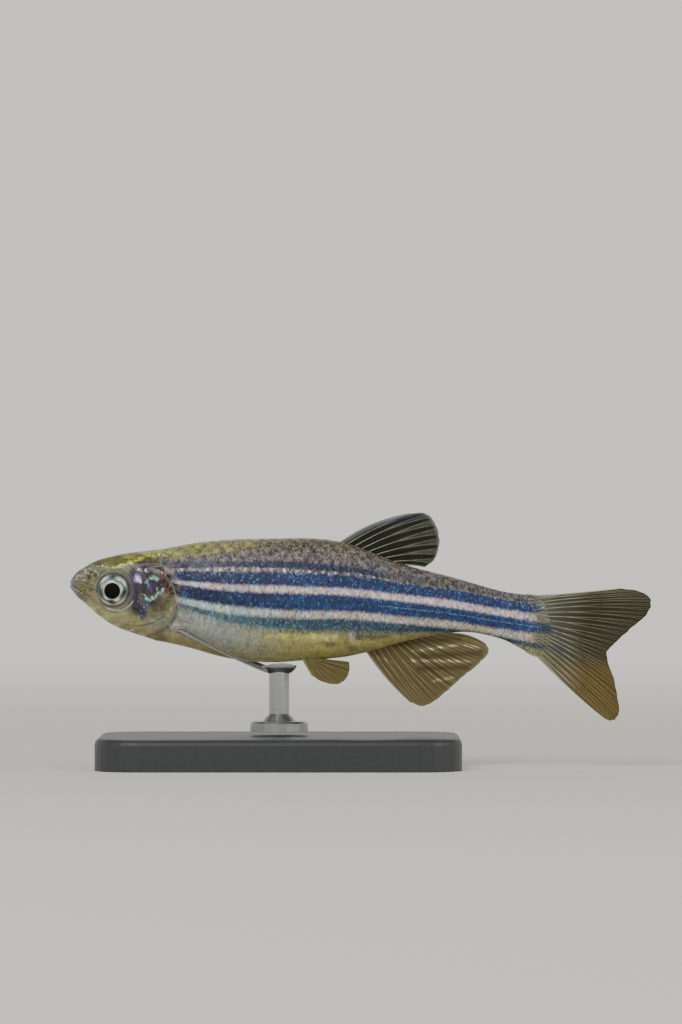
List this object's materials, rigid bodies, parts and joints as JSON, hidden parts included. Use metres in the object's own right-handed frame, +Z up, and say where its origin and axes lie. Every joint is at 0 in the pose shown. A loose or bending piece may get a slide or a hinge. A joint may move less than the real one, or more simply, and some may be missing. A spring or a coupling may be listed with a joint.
{
  "type": "zebra danio",
  "caption": "Life-size still model of a zebra danio swimming, with striped sides, rayed fins, gill covers and barbels, on a rod over a plain flat base.",
  "frame": {"origin": "centre of the whole box at the underside of the base, below the middle of the fish", "axes": "+X from the snout towards the tail, -Y towards the fish's left side, +Z up"},
  "size_m": [0.04, 0.016, 0.0176],
  "materials": {
    "striped_skin": "gloss",
    "cheek_skin": "gloss",
    "gill_plate": "gloss",
    "fin": "satin",
    "eye": "gloss",
    "stand_plate": "satin",
    "stand_rod": "brushed"
  },
  "bodies": {
    "root": {"head": "cheek_skin", "trunk": "striped_skin", "tail_stalk": "striped_skin", "gill_cover_left": "gill_plate", "gill_cover_right": "gill_plate", "eye_left": "eye", "eye_right": "eye", "stand_base": "stand_plate", "stand_rod": "stand_rod", "dorsal_fin": "fin", "anal_fin": "fin", "tail_fin_upper": "fin", "tail_fin_lower": "fin", "pectoral_fin_left": "fin", "pectoral_fin_right": "fin", "pelvic_fin_left": "fin", "pelvic_fin_right": "fin"}
  },
  "joints": []
}
